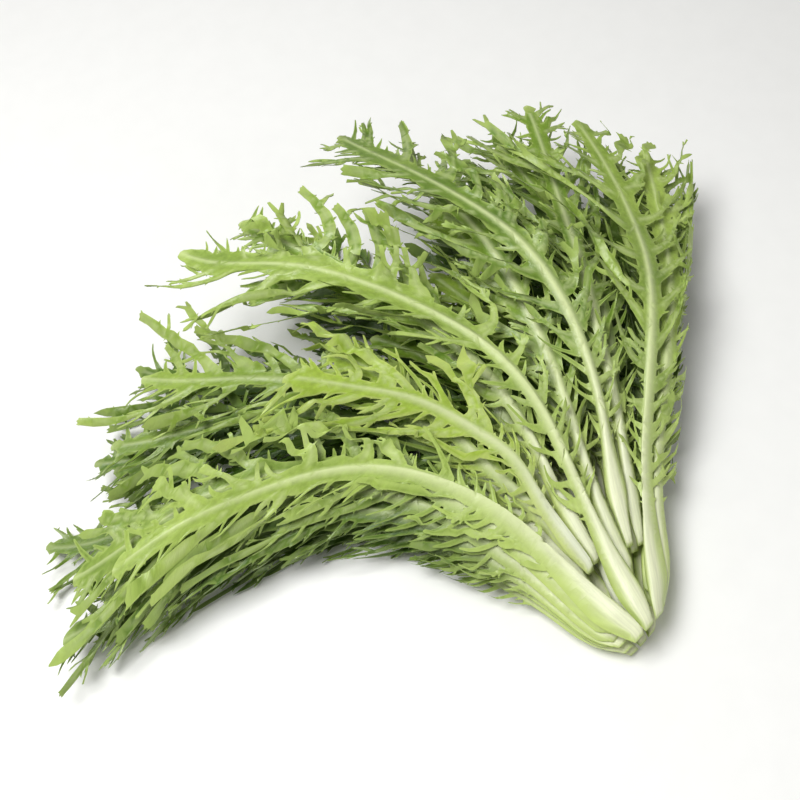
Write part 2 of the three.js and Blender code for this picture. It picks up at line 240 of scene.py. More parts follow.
@dataclass(frozen=True)
class HeadLayout:
    """The layout of the head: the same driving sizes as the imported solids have.

    A leaf keeps to a cell of the fan: a place across it and a layer of its height, both from
    -1 to 1. Cells don't cross, so leaves don't either.
    """

    leaf_length: float = 310
    butt_radius: float = 19
    butt_height: float = 38
    full_height: float = 104
    full_at: float = 205
    tip_droop: float = 16
    sink_left: float = 0.42
    sink_right: float = 0.3
    left_droop: float = 0.42
    fan_half_base: float = math.radians(36)
    fan_half_tip: float = math.radians(54)
    fan_turn_low: float = math.radians(13)
    fan_turn_high: float = math.radians(20)
    fan_spreads: tuple[float, float] = (90, 300)
    tuck_share: float = 0.8
    tuck_from_to: tuple[float, float] = (-5, 14)
    swell: float = 0.1
    swell_length: float = 34
    swells_across: float = 4.6
    crown_radius: float = 8
    crown_length: float = 46
    crown_from: float = 1
    crown_bevel: tuple[float, float] = (1.5, 0.86)
    crown_sides: int = 14
    crown_stations: int = 8
    crown_gap: float = 0.7
    layers: tuple[int, ...] = (5, 6, 6, 6, 6, 6, 6, 5)
    heart_reach: float = 0.66
    side_reach_left: float = 0.88
    side_reach_right: float = 0.87
    shortest: float = 0.9
    opening_across: tuple[float, float] = (-0.56, -0.2)
    opening_layer: float = 0.5
    opening_reach: tuple[float, float] = (0.5, 0.7)
    butt_power: float = 1.7
    broad_feet: int = 3
    small_foot: float = 0.1
    foot_uneven: float = 0.5
    foot_room: float = 2.4
    butt_to: float = 110
    cell_uneven: float = 0.26
    cell_drift: float = 0.36
    layer_swing: float = 0.17
    drift_from_to: tuple[float, float] = (50, 290)
    foot_from: float = -3
    layer_gap: float = 0.5
    cell_gap: float = 1.2
    stalk_half_end: float = 2.9
    stalk_narrows: tuple[float, float] = (0.02, 0.24)
    foot_half: float = 0.55
    foot_round: float = 0.025
    rib_thick_tip: float = 1.1
    wing_half: tuple[float, float] = (3.4, 7.2)
    heart_wing: float = 0.8
    end_lobe_half: float = 5.2
    lobe_reach: float = 42
    lobe_pairs: int = 10
    lobes_from: float = 0.22
    lobes_to: float = 0.96
    lobe_share: float = 0.4
    lobe_lean: float = 0.75
    lobe_curl: float = 0.6
    roll: float = 0.6
    top_rise: float = 2
    rest_lift: float = 0.5
    sway: float = 0.3
    sway_turns: float = 5
    seed: int = 4711

    @staticmethod
    def stalk_half(kind: Kind) -> float:
        """Returns half a stalk's width near its foot."""
        return {Kind.OUTER: 7.4, Kind.MIDDLE: 5.2, Kind.HEART: 3.6}[kind]

    @staticmethod
    def stalk_thick(kind: Kind) -> float:
        """Returns a stalk's thickness near its foot."""
        return {Kind.OUTER: 4.8, Kind.MIDDLE: 3.6, Kind.HEART: 2.8}[kind]

    def fan_half(self, along: np.ndarray) -> np.ndarray:
        """Returns half the fan's angle at a distance from the butt."""
        return mix(self.fan_half_base, self.fan_half_tip, ease(along, *self.fan_spreads))

    def height(self, along: np.ndarray) -> np.ndarray:
        """Returns the head's height in the middle of the fan.

        Args:
            along: distances from the butt.

        Returns:
            Heights in millimetres.
        """
        grows = ease(along, 8, self.full_at) * (self.full_height - self.butt_height)
        droops = self.tip_droop * ease(along, self.full_at + 10, self.leaf_length + 25)
        return self.butt_height + grows - droops

    def round_x(self, along: np.ndarray, layer: np.ndarray) -> np.ndarray:
        """Returns how much a layer narrows away from the middle of the height."""
        narrows = layer * layer * mix(0.5, 0.14, ease(along, 40, 190))
        return np.sqrt(np.maximum(1 - narrows, 0.05))

    @staticmethod
    def round_z(across: np.ndarray, layer: np.ndarray) -> np.ndarray:
        """Returns how much the layers close up away from the middle of the fan."""
        return np.sqrt(1 - across * across * np.where(layer > 0, 0.5, 0.12))

    def height_share(self, along: np.ndarray, a: np.ndarray) -> np.ndarray:
        """Returns the share of the full height that the fan has at a place.

        Args:
            along: distances from the butt.
            a: places across the fan, from -1 to 1.

        Returns:
            Shares of the height in the middle of the fan.
        """
        sink = np.where(a < 0, self.sink_left, self.sink_right)
        side = sink * a * a * ease(along, 40, self.full_at)
        swell = np.sin(self.swells_across * a + 1.1) * np.sin(along / self.swell_length + 2 * a)
        edge = ease(-a, 0.35, 0.95) * ease(along, 205, self.leaf_length)
        droop = mix(1, self.left_droop, edge)
        return (1 - side) * (1 + self.swell * swell * ease(along, 70, self.full_at)) * droop

    def tuck(self, along: np.ndarray) -> np.ndarray:
        """Returns how far the bundle closes in at its end, where the stalks' feet round it."""
        return mix(self.tuck_share, 1, ease(along, *self.tuck_from_to))

    def place(self, along: np.ndarray, across: np.ndarray, layer: np.ndarray) -> np.ndarray:
        """Turns a place in the head into a point.

        Args:
            along: distance from the butt.
            across: place across the fan, from -1 to 1.
            layer: place in the fan's height, from -1 to 1.

        Returns:
            An array of points, with the butt at the origin.
        """
        a = across * self.round_x(along, layer)
        turn = mix(self.fan_turn_low, self.fan_turn_high, (layer + 1) / 2)
        angle = turn * (1 - ease(along, *self.fan_spreads)) + self.fan_half(along) * a
        half = self.height(along) / 2 * self.height_share(along, a)
        x = self.butt_radius * self.tuck(along) * a + along * np.sin(angle)
        z = half * (1 + layer * self.round_z(across, layer) * self.tuck(along))
        return np.stack([x, along * np.cos(angle), z], axis=-1)

    def middle(self, along: float) -> np.ndarray:
        """Returns the point in the middle of the head at a distance from the butt."""
        return self.place(np.array(along), np.array(0.0), np.array(0.0))

    def across_scale(self, along: np.ndarray, layer: np.ndarray) -> np.ndarray:
        """Returns the length of one unit of across."""
        butt = self.butt_radius * self.tuck(along)
        return (butt + along * self.fan_half(along)) * self.round_x(along, layer)

    def layer_scale(self, along: np.ndarray, across: np.ndarray, layer: np.ndarray) -> np.ndarray:
        """Returns the height of one unit of layer.

        Args:
            along: distances from the butt.
            across: places across the fan.
            layer: places in the fan's height.

        Returns:
            Millimetres of height for a step of 1 in layer.
        """
        a = across * self.round_x(along, layer)
        half = self.height(along) / 2 * self.height_share(along, a)
        return half * self.round_z(across, layer) * self.tuck(along)

    def crown_radius_at(self, along: float) -> float:
        """Returns the crown's radius at a distance from the butt."""
        return self.crown_radius * math.sqrt(max(0.0, 1 - along / self.crown_length))

    def room(self, cell: Cell, along: np.ndarray) -> tuple[np.ndarray, ...]:
        """Gives the room of a leaf's cell at a distance from the butt.

        Args:
            cell: the leaf's cell.
            along: distances from the butt.

        Returns:
            Middle across, half width across, middle layer and half height in layers.
        """
        out = ease(along, 0, self.butt_to)
        drift = ease(along, *self.drift_from_to)
        left, right = (
            mix(butt, near, out) + (tips - near) * drift
            for butt, near, tips in (cell.left, cell.right)
        )
        power = mix(self.butt_power, 1, out)
        low, high = (np.sign(b) * np.abs(b) ** power for b in (cell.low, cell.high))
        return (left + right) / 2, (right - left) / 2, (low + high) / 2, (high - low) / 2

    def foot_of(self, cell: Cell) -> float:
        """Returns the distance from the butt at which a cell has room for a foot.

        Args:
            cell: the leaf's cell.

        Returns:
            The distance from the butt.
        """
        along = self.foot_from
        while along < self.crown_length + 4:
            across, half_across, layer, half_layer = self.room(cell, along)
            dx = max(0, abs(across) - half_across) * self.across_scale(along, layer)
            dz = max(0, abs(layer) - half_layer) * self.layer_scale(along, across, layer)
            clear = math.hypot(dx, dz) > self.crown_radius_at(along) + self.crown_gap
            if clear and half_across * self.across_scale(along, layer) > self.foot_room:
                return along
            along += 0.5
        return self.crown_length + 4

    def half_width(self, cell: Cell, share: np.ndarray) -> np.ndarray:
        """Returns half the width of a leaf's uncut middle at a share of its length.

        Args:
            cell: the leaf's cell.
            share: shares of the leaf's length.

        Returns:
            Half widths in millimetres.
        """
        foot = mix(self.foot_half, 1, ease(share, 0, self.foot_round))
        narrows = ease(share, *self.stalk_narrows)
        stalk = mix(self.stalk_half(cell.kind), self.stalk_half_end, narrows)
        wing = (cell.wing - self.stalk_half_end) * ease(share, 0.35, 0.7)
        end = (self.end_lobe_half - cell.wing) * ease(share, 0.8, 0.93)
        return stalk * foot + wing + end

    def rib_thick(self, cell: Cell, share: np.ndarray) -> np.ndarray:
        """Returns a leaf's thickness at its rib."""
        return mix(self.stalk_thick(cell.kind), self.rib_thick_tip, ease(share, 0.1, 0.85))

    def lobe_reach_at(self, share: float) -> float:
        """Returns how far off the rib a usual lobe reaches at a share of the leaf's length."""
        grows = mix(0.2, 1, ease(share, self.lobes_from - 0.05, 0.6))
        return self.lobe_reach * grows * (1 - 0.55 * ease(share, 0.76, self.lobes_to))

    def layer_bounds(self, leaves: int, row: int, draws: Draws) -> list[tuple[float, ...]]:
        """Lays out the bounds between a layer's cells.

        Args:
            leaves: how many leaves the layer has.
            row: the layer's number from the lowest.
            draws: the layer's own draws.

        Returns:
            For each bound its place across the head at the butt, further out and at the tips.
        """
        broad = (0, (leaves - row % 2) // 2, leaves - 1)
        feet = self.broad_feet + (leaves - self.broad_feet) * self.small_foot
        width = 2 / leaves
        swing = self.layer_swing * 2 * (draws.next() - 0.5)
        bounds = [(-1.0, -1.0, -1.0)]
        foot = self.foot_uneven * (draws.next() - 0.5)
        for i in range(1, leaves):
            foot += 1 if i - 1 in broad else self.small_foot
            near = -1 + width * (i + self.cell_uneven * (draws.next() - 0.5))
            drift = width * self.cell_drift * (draws.next() - 0.5) + swing * (1 - near * near)
            bounds.append((2 * foot / feet - 1, near, near + drift))
        bounds.append((1.0, 1.0, 1.0))
        return bounds

    def lobes(self, cell: Cell, draws: Draws) -> list[Lobe]:
        """Draws a leaf's lobes on both sides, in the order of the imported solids.

        Args:
            cell: the leaf's cell.
            draws: the leaf's own draws.

        Returns:
            The lobes, first those on the left.
        """
        pitch = (self.lobes_to - self.lobes_from) / self.lobe_pairs
        lobes = []
        for side in (1, -1):
            for i in range(self.lobe_pairs):
                jitter = 0.3 * (draws.next() - 0.5) + 0.22 * side
                start = self.lobes_from + pitch * (i + jitter)
                foot = pitch * self.lobe_share * mix(0.85, 1.15, draws.next())
                reach = self.lobe_reach_at(start) * cell.width * mix(0.6, 1.15, draws.next())
                lean = reach * self.lobe_lean * mix(0.6, 1.25, draws.next())
                lift = (draws.next() - 0.5) * 2 * self.lobe_curl
                size = cell.length
                lobes.append(Lobe(side, start * size, foot * size, reach, lean, lift))
        return lobes

    def cells(self) -> list[Cell]:
        """Lays out all the leaves.

        Returns:
            A cell for each leaf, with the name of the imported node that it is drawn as.
        """
        cells = []
        counts = dict.fromkeys(Kind, 0)
        for row, leaves in enumerate(self.layers):
            bounds = self.layer_bounds(leaves, row, Draws(self.seed + row))
            for column in range(leaves):
                seed = self.seed + 97 * (row + 1) + column
                draws = Draws(seed)
                cell = Cell(
                    left=bounds[column],
                    right=bounds[column + 1],
                    low=-1 + 2 * row / len(self.layers),
                    high=-1 + 2 * (row + 1) / len(self.layers),
                    lowest=row == 0,
                    highest=row == len(self.layers) - 1,
                    seed=seed,
                )
                self.size_leaf(cell, draws)
                counts[cell.kind] += 1
                cell.node = f"{cell.kind.value}_leaf_{counts[cell.kind]:02d}"
                cells.append(cell)
        return cells

    def size_leaf(self, cell: Cell, draws: Draws) -> None:
        """Sets a leaf's kind, length, wave and lobes from its cell and its draws.

        Args:
            cell: the leaf's cell, which is filled in.
            draws: the leaf's own draws.
        """
        across, _, layer, _ = self.room(cell, self.butt_to)
        inwards = max(abs(across), abs(layer))
        cell.kind = Kind.HEART
        if inwards > 0.4:
            cell.kind = Kind.OUTER if inwards > 0.72 else Kind.MIDDLE
        cell.foot = self.foot_of(cell)
        share = mix(self.heart_reach, 1, ease(inwards, 0.1, 0.62))
        side = self.side_reach_left if across < 0 else self.side_reach_right
        side = mix(1, side, ease(abs(across), 0.6, 0.85))
        share *= side * mix(self.shortest, 1, draws.next())
        opens = self.opening_across[0] < across < self.opening_across[1]
        if opens and layer > self.opening_layer:
            cell.kind = Kind.HEART
            share = mix(*self.opening_reach, draws.next())
        cell.tip = self.leaf_length * float(share)
        cell.wave_phase = 2 * math.pi * draws.next()
        cell.wave = mix(0.1, 0.3, draws.next())
        cell.width = mix(0.86, 1.12, draws.next())
        cell.roll = self.roll * 2 * (draws.next() - 0.5)
        cell.sway = self.sway * 2 * (draws.next() - 0.5)
        cell.wing = mix(*self.wing_half, draws.next())
        if cell.kind is Kind.HEART:
            cell.wing *= self.heart_wing
        cell.lobes = self.lobes(cell, draws)


@dataclass
class FlatOutline:
    """Shapes laid out flat, which overlap, and points inside them, for one triangulation."""

    points: list[tuple[float, float]] = field(default_factory=list)
    faces: list[list[int]] = field(default_factory=list)

    def add_shape(self, x: Sequence[float], y: Sequence[float]) -> None:
        """Adds a closed shape by its corners in order, and turns it anticlockwise.

        Args:
            x: places along the leaf.
            y: distances off its rib.
        """
        x, y = np.asarray(x, float), np.asarray(y, float)
        if np.sum(x * np.roll(y, -1) - np.roll(x, -1) * y) < 0:
            x, y = x[::-1], y[::-1]
        first = len(self.points)
        self.points.extend(zip(x.tolist(), y.tolist()))
        self.faces.append(list(range(first, len(self.points))))

    def add_points(self, x: Sequence[float], y: Sequence[float]) -> None:
        """Adds loose points that the triangles have to meet."""
        self.points.extend(zip(map(float, x), map(float, y)))

    def triangles(self) -> tuple[np.ndarray, np.ndarray]:
        """Joins the shapes into one and cuts it into triangles.

        Returns:
            The corners as an array of x and y, and triangles as rows of three corners.
        """
        corners = [Vector(p) for p in self.points]
        whole = delaunay_2d_cdt(corners, [], self.faces, 0, 1e-3, True)
        points = np.array([tuple(p) for p in whole[0]])
        kept = [face for face, source in zip(whole[2], whole[5]) if source]
        faces = np.array(kept, dtype=np.int64)
        p, q, r = (points[faces[:, i]] for i in range(3))
        area = (q[:, 0] - p[:, 0]) * (r[:, 1] - p[:, 1])
        area -= (q[:, 1] - p[:, 1]) * (r[:, 0] - p[:, 0])
        faces[area < 0] = faces[area < 0][:, ::-1]
        faces = faces[np.abs(area) > 1e-5]
        used, inverse = np.unique(faces, return_inverse=True)
        return points[used], inverse.reshape(faces.shape)


@dataclass
class LeafBuilder:
    """Builds one fine leaf: its flat outline, and its place and curl in the head.

    Sizes are in millimetres or in shares of the leaf, and a pair is the range of a draw.
    """

    layout: HeadLayout
    cell: Cell
    station: float = 3.0
    edge_station: float = 2.2
    edge_rough: float = 0.07
    tip_notches: float = 0.38
    blade_thick: float = 0.5
    stalk_rim_thick: float = 0.7
    thick_of_free: float = 1.7
    rib_outside: float = 0.18
    rib_half_foot: float = 2.6
    rib_half_tip: float = 0.9
    vein_half: float = 1.0
    vein_thick: float = 0.3
    foot_round: float = 7.0
    stalk_hollow: float = 0.5
    lobe_bend: float = 1.7
    tip_bend: float = 0.8
    turn: float = 0.8
    turn_lowest: float = 0.3
    turned_half: float = 3.0
    ruffle: float = 0.25
    ruffle_length: float = 2.9
    strap_half: float = 1.75
    strap_half_short: float = 0.7
    fineness_drawn: tuple[float, float] = (0.72, 1.12)
    heart_fineness: float = 0.75
    heart_drawn_in: float = 0.8
    lobe_root: float = 0.45
    forward: float = 1.35
    lean_drawn: tuple[float, float] = (0.65, 1.12)
    hook_drawn: tuple[float, float] = (-0.6, 0.3)
    twist_drawn: tuple[float, float] = (-0.9, 0.9)
    tip_lift_drawn: tuple[float, float] = (-1.2, 1.2)
    tip_curl_drawn: tuple[float, float] = (-1.0, 1.3)
    end_chances: tuple[float, ...] = (0.35, 0.35, 0.3)
    drawn_in: float = 0.92
    room_used: tuple[float, float] = (0.62, 1.02)
    over_bound: float = 1.5
    lobe_rise: float = 0.45
    web: float = 0.0
    web_drawn: tuple[float, float] = (0.5, 5.0)
    tooth: float = 1.5
    tooth_spacing: tuple[float, float] = (0.6, 1.5)
    spine_spacing: tuple[float, float] = (5, 17)
    frills_from: float = 0.2
    frills_to: float = 0.97
    frill_out: tuple[float, float] = (3, 12)
    frill_out_low: float = 10.0
    frill_foot: tuple[float, float] = (2.4, 4.2)
    frill_half: tuple[float, float] = (0.55, 1.2)
    frill_spread: float = 3.2
    frill_spacing: tuple[float, float] = (6, 15)
    frill_stands_on_top: float = 0.45
    shade_sharp: float = math.radians(62)

    def __post_init__(self) -> None:
        """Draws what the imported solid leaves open, such as each lobe's hook and end."""
        self.random = np.random.default_rng(self.cell.seed)
        self.fineness = self.random.uniform(*self.fineness_drawn)
        if self.cell.kind is Kind.HEART:
            self.fineness *= self.heart_fineness
            self.drawn_in *= self.heart_drawn_in
        self.tip_curl = self.random.uniform(*self.tip_curl_drawn)
        web_random = np.random.default_rng(self.cell.seed + 1)
        if self.cell.kind is Kind.OUTER:
            self.web = float(web_random.uniform(*self.web_drawn))
        self.frills = self.draw_frills()
        for lobe in self.cell.lobes:
            half = float(self.layout.half_width(self.cell, lobe.start / self.cell.length))
            lobe.root = self.lobe_root * half
            lobe.lean *= self.forward * self.random.uniform(*self.lean_drawn)
            room = self.room_beside(lobe) * self.random.uniform(*self.room_used)
            if self.cell.highest:
                room *= self.random.uniform(1.0, self.over_bound)
            lobe.reach = max(min(lobe.reach * self.drawn_in, room), half + 2)
            grown = float(ease(lobe.reach - half, 4, 24))
            lobe.hook = self.random.uniform(*self.hook_drawn)
            lobe.tip_lift = self.random.uniform(*self.tip_lift_drawn)
            lobe.twist = self.random.uniform(*self.twist_drawn)
            lobe.half = mix(self.strap_half_short, self.strap_half, grown) * self.fineness
            lobe.half *= self.random.uniform(0.8, 1.25)
            lobe.end = list(LobeEnd)[self.random.choice(3, p=self.end_chances)]

    def web_share(self, x: np.ndarray) -> np.ndarray:
        """Returns where along the leaf a broad blade joins its lobes: 0 on the stalk.

        Args:
            x: places along the leaf.

        Returns:
            Shares of the web's full width.
        """
        share = x / self.cell.length
        ripple = 0.7 + 0.3 * np.sin(x / 5.3 + 3 * self.cell.wave_phase)
        return ease(share, 0.42, 0.66) * (1 - 0.7 * ease(share, 0.8, 1.0)) * ripple

    def room_beside(self, lobe: Lobe) -> float:
        """Returns how far a lobe can reach off the rib within its leaf's cell.

        Args:
            lobe: the lobe.

        Returns:
            The distance off the rib in millimetres.
        """
        layout, cell = self.layout, self.cell
        along = cell.foot + lobe.start + lobe.foot / 2 + lobe.lean
        share = along / cell.length
        _, half_across, layer, _ = layout.room(cell, along)
        turned = math.sin(2 * cell.wave_phase + layout.sway_turns * share)
        sway = cell.sway * float(ease(share, 0.12, 0.45)) * turned
        half = half_across * (1 - lobe.side * sway)
        return float(half * layout.across_scale(along, layer)) - layout.cell_gap / 2

    def draw_frills(self) -> list[Lobe]:
        """Draws the thin lobes between the full ones and down the stalk.

        Returns:
            The frills, as lobes with pointed ends.
        """
        frills = []
        length = self.cell.length
        stands = self.frill_stands_on_top if self.cell.highest else 1.0
        for side in (1, -1):
            at = length * self.random.uniform(self.frills_from, self.frills_from + 0.06)
            while at < length * self.frills_to:
                share = at / length
                half = float(self.layout.half_width(self.cell, share))
                low = 1 - float(ease(share, 0.25, 0.5))
                out = self.random.uniform(*self.frill_out)
                out += self.frill_out_low * low * self.random.random()
                frills.append(
                    Lobe(
                        side=side,
                        start=at,
                        foot=self.random.uniform(*self.frill_foot),
                        reach=half + out,
                        lean=out * self.random.uniform(0.3, 1.5),
                        lift=self.random.uniform(-1.0, 1.0) * stands,
                        root=0.5 * half,
                        hook=self.random.uniform(-0.3, 0.6),
                        tip_lift=self.random.uniform(-1.4, 1.4) * stands,
                        twist=self.random.uniform(-0.6, 0.6),
                        half=self.random.uniform(*self.frill_half),
                        spread=self.frill_spread,
                        end=LobeEnd.POINTED,
                    )
                )
                closer = 1 - 0.5 * float(ease(share, 0.75, 0.95))
                at += self.random.uniform(*self.frill_spacing) * closer
        return frills

    def add_middle(self, flat: FlatOutline) -> None:
        """Adds the stalk and the uncut middle of the blade, with points along the rib.

        Args:
            flat: the outline to add to.
        """
        length = self.cell.length
        phase = self.cell.wave_phase
        x = np.arange(0.0, length * 0.94, self.edge_station)
        half = self.layout.half_width(self.cell, x / length) + self.web * self.web_share(x)
        rough = self.edge_rough * ease(x / length, 0.25, 0.45)
        t = np.linspace(0, 1, 9)[1:-1]
        tip_x = x[-1] + (length - x[-1]) * np.sin(t * math.pi / 2)
        tip_half = float(half[-1]) * np.cos(t * math.pi / 2) ** 0.8
        edges = []
        for turn in (1, -1):
            ripple = np.sin(x / (2.9 + 0.2 * turn) + (2 + turn) * phase)
            notches = 1 + self.tip_notches * self.random.uniform(-1, 1, len(tip_half))
            edges.append(np.concatenate([half * (1 + rough * ripple), tip_half * notches]))
        along = np.concatenate([x, tip_x])
        xs = np.concatenate([along, [length], along[::-1]])
        ys = np.concatenate([edges[0], [0.0], -edges[1][::-1]])
        flat.add_shape(xs, ys)
        for at in np.arange(1.5, length - 4, self.station):
            share = at / length
            room = float(self.layout.half_width(self.cell, share)) * 0.9
            rib = float(self.rib_half(share))
            rows = [0.0, rib * 0.55, rib * 1.15, rib * 1.9, room * 0.9]
            rows = [y for y in rows if y < room]
            flat.add_points([at] * len(rows), rows)
            flat.add_points([at] * (len(rows) - 1), [-y for y in rows[1:]])

    def add_spines(self, flat: FlatOutline) -> None:
        """Adds the small forward teeth on the stalk and on the blade's edge.

        Args:
            flat: the outline to add to.
        """
        length = self.cell.length
        for side in (1, -1):
            at = length * 0.2
            while at < length * 0.94:
                half = float(self.layout.half_width(self.cell, at / length))
                size = self.random.uniform(0.5, 1.5) * self.tooth
                base = self.random.uniform(0.9, 1.4)
                lean = self.random.uniform(0.5, 1.4) * size
                xs = [at - base, at + lean, at + base]
                ys = [half * 0.8, half + size, half * 0.8]
                flat.add_shape(xs, [side * y for y in ys])
                at += self.random.uniform(*self.spine_spacing)

    @staticmethod
    def strap(
        flat: FlatOutline, axis: np.ndarray, half: np.ndarray, side: int, end: LobeEnd
    ) -> None:
        """Adds a strap with its end.

        Args:
            flat: the outline to add to.
            axis: the strap's middle line, a row of places along the leaf and a row off its rib.
            half: the strap's half width at each of its places.
            side: 1 or -1.
            end: how it ends.
        """
        x, y = axis
        dx, dy = np.gradient(x), np.gradient(y)
        size = np.hypot(dx, dy)
        tx, ty = dx / size, dy / size
        last, hx, hy = half[-1], tx[-1], ty[-1]
        if end is LobeEnd.POINTED:
            ahead, beside = [1.2, 3.4, 1.4], [-0.7, 0.0, 0.6]
        elif end is LobeEnd.FORKED:
            ahead = [1.2, 3.4, 3.5, 1.1, 4.2, 4.3, 1.0]
            beside = [-1.5, -2.1, -1.4, 0.1, 1.3, 2.0, 1.35]
        else:
            ahead = [0.9, 1.0, 0.9, 1.6, 1.0, 1.5, 0.8]
            beside = [-1.15, -1.0, -0.5, 0.0, 0.4, 0.9, 1.1]
        cap_x = [x[-1] + last * (a * hx - b * hy) for a, b in zip(ahead, beside)]
        cap_y = [y[-1] + last * (a * hy + b * hx) for a, b in zip(ahead, beside)]
        xs = np.concatenate([x + ty * half, cap_x, (x - ty * half)[::-1]])
        ys = np.concatenate([y - tx * half, cap_y, (y + tx * half)[::-1]])
        flat.add_shape(xs, side * ys)

    def add_lobe(self, flat: FlatOutline, lobe: Lobe) -> None:
        """Adds a lobe with its branches and teeth.

        Args:
            flat: the outline to add to.
            lobe: the lobe.
        """
        grown = float(ease(lobe.reach, 5, 22)) * (lobe.half > 1)
        t = np.linspace(0, 1, max(5, int((lobe.reach - lobe.root) / 1.9)))
        x, y = lobe.axis(t)
        flare = max(lobe.foot * 0.5 - lobe.half, 0.0) * (1 - ease(t, 0.0, 0.42))
        belly = 0.35 * lobe.half * np.sin(t * math.pi * 2.2 + lobe.twist * 3)
        widens = lobe.half * 0.35 * ease(t, 0.6, 0.95) * grown
        narrows = mix(1, mix(0.3, 0.8, grown), ease(t, 0.55, 1.0))
        half = np.maximum((lobe.half + flare + belly * grown + widens) * narrows, 0.3)
        end = lobe.end if grown > 0.3 else LobeEnd.POINTED
        self.strap(flat, np.stack([x, y]), half, lobe.side, end)
        flat.add_points(x[1:-1], lobe.side * y[1:-1])
        branches = round(grown * self.random.uniform(1.0, 3.6))
        turn = 1 if self.random.random() < 0.5 else -1
        for share in np.sort(self.random.uniform(0.3, 0.88, branches)):
            self.add_branch(flat, lobe, float(share), turn)
            turn = -turn
        if grown > 0:
            self.add_teeth(flat, lobe, half, t)

    def add_branch(self, flat: FlatOutline, lobe: Lobe, share: float, turn: int) -> None:
        """Adds a branch of a lobe.

        Args:
            flat: the outline to add to.
            lobe: the lobe that it leaves.
            share: where on the lobe's middle line.
            turn: to which side of the line, 1 or -1.
        """
        x, y = lobe.axis(np.array([share, share + 0.02]))
        heading = math.atan2(y[1] - y[0], x[1] - x[0])
        heading += turn * math.radians(self.random.uniform(30, 60))
        size = lobe.reach * self.random.uniform(0.16, 0.42) + 1.5
        steps = max(4, int(size / 1.7))
        s = np.linspace(0, 1, steps)
        angle = heading - turn * self.random.uniform(0.1, 0.8) * s
        ahead = np.concatenate([[0.0], np.cumsum(np.cos(angle[1:]))]) * size / (steps - 1)
        beside = np.concatenate([[0.0], np.cumsum(np.sin(angle[1:]))]) * size / (steps - 1)
        half = mix(0.78, 0.4, s**0.7) * lobe.half * self.random.uniform(0.8, 1.2)
        end = LobeEnd.POINTED if self.random.random() < 0.6 else LobeEnd.BLUNT
        axis = np.stack([x[0] + ahead, np.maximum(y[0] + beside, 0.5)])
        self.strap(flat, axis, half, lobe.side, end)

    def add_teeth(self, flat: FlatOutline, lobe: Lobe, half: np.ndarray, t: np.ndarray) -> None:
        """Adds the small pointed teeth on both edges of a lobe.

        Args:
            flat: the outline to add to.
            lobe: the lobe.
            half: the lobe's half width at each share of its middle line.
            t: the shares of its middle line.
        """
        for turn in (1, -1):
            share = self.random.uniform(0.25, 0.45)
            while share < 0.95:
                x, y = lobe.axis(np.array([share, share + 0.03]))
                along = np.array([x[1] - x[0], y[1] - y[0]])
                along /= np.hypot(*along)
                out = np.array([-along[1], along[0]]) * turn
                edge = float(np.interp(share, t, half))
                tooth = self.tooth * self.random.uniform(0.5, 1.25)
                root = np.array([x[0], y[0]]) + out * edge * 0.6
                base = along * tooth * 0.55
                tip = root + out * (0.4 * edge + tooth) + along * tooth
                corners = np.stack([root - base, tip, root + base])
                flat.add_shape(corners[:, 0], lobe.side * corners[:, 1])
                share += self.random.uniform(*self.tooth_spacing) * 8 / max(lobe.reach, 8)

    def rib_half(self, share: np.ndarray) -> np.ndarray:
        """Returns half the width of the raised rib."""
        return mix(self.rib_half_foot, self.rib_half_tip, ease(share, 0.2, 0.95))

    def curl(self, x: np.ndarray, y: np.ndarray) -> tuple[np.ndarray, ...]:
        """Gives the curl of the lobes over the flat leaf.

        Args:
            x: places along the leaf.
            y: distances off the rib, with the side's sign.

        Returns:
            The lift in shares of the leaf's layer, the lift in millimetres by which a lobe
            turns over about its own middle line, and how near that line is.
        """
        lift = np.zeros_like(x)
        turned = np.zeros_like(x)
        total = np.full_like(x, 0.03)
        vein = np.zeros_like(x)
        off = np.abs(y)
        for lobe in (*self.cell.lobes, *self.frills):
            t = lobe.share_at(off)
            away = x - lobe.axis(t)[0]
            here = (np.sign(y) == lobe.side) * (1 - ease(off, lobe.reach, lobe.reach * 1.25))
            weight = np.exp(-((away / lobe.spread) ** 2)) * here
            bend = self.lobe_bend * lobe.lift * t**1.3 + self.tip_bend * lobe.tip_lift * t**3
            lift += weight * bend
            aside = np.clip(away, -self.turned_half, self.turned_half)
            turned += weight * lobe.twist * aside * ease(t, 0.12, 0.6)
            total += weight
            if lobe.half > 1:
                near = np.exp(-((away / self.vein_half) ** 2)) * ease(t, 0.02, 0.15)
                vein = np.maximum(vein, near * (1 - ease(t, 0.8, 1.1)) * here)
        phase = 3 * self.cell.wave_phase
        ruffle = self.ruffle * np.sin(x / self.ruffle_length + phase + 0.35 * y)
        tip = self.tip_curl * ease(x / self.cell.length, 0.78, 1.05)
        half = self.layout.half_width(self.cell, x / self.cell.length)
        outside = ease(off, 0.75 * half, 0.75 * half + 4)
        lift = lift / total * outside + ruffle * ease(off, 4, 20) + tip
        return lift, turned / total * outside, vein

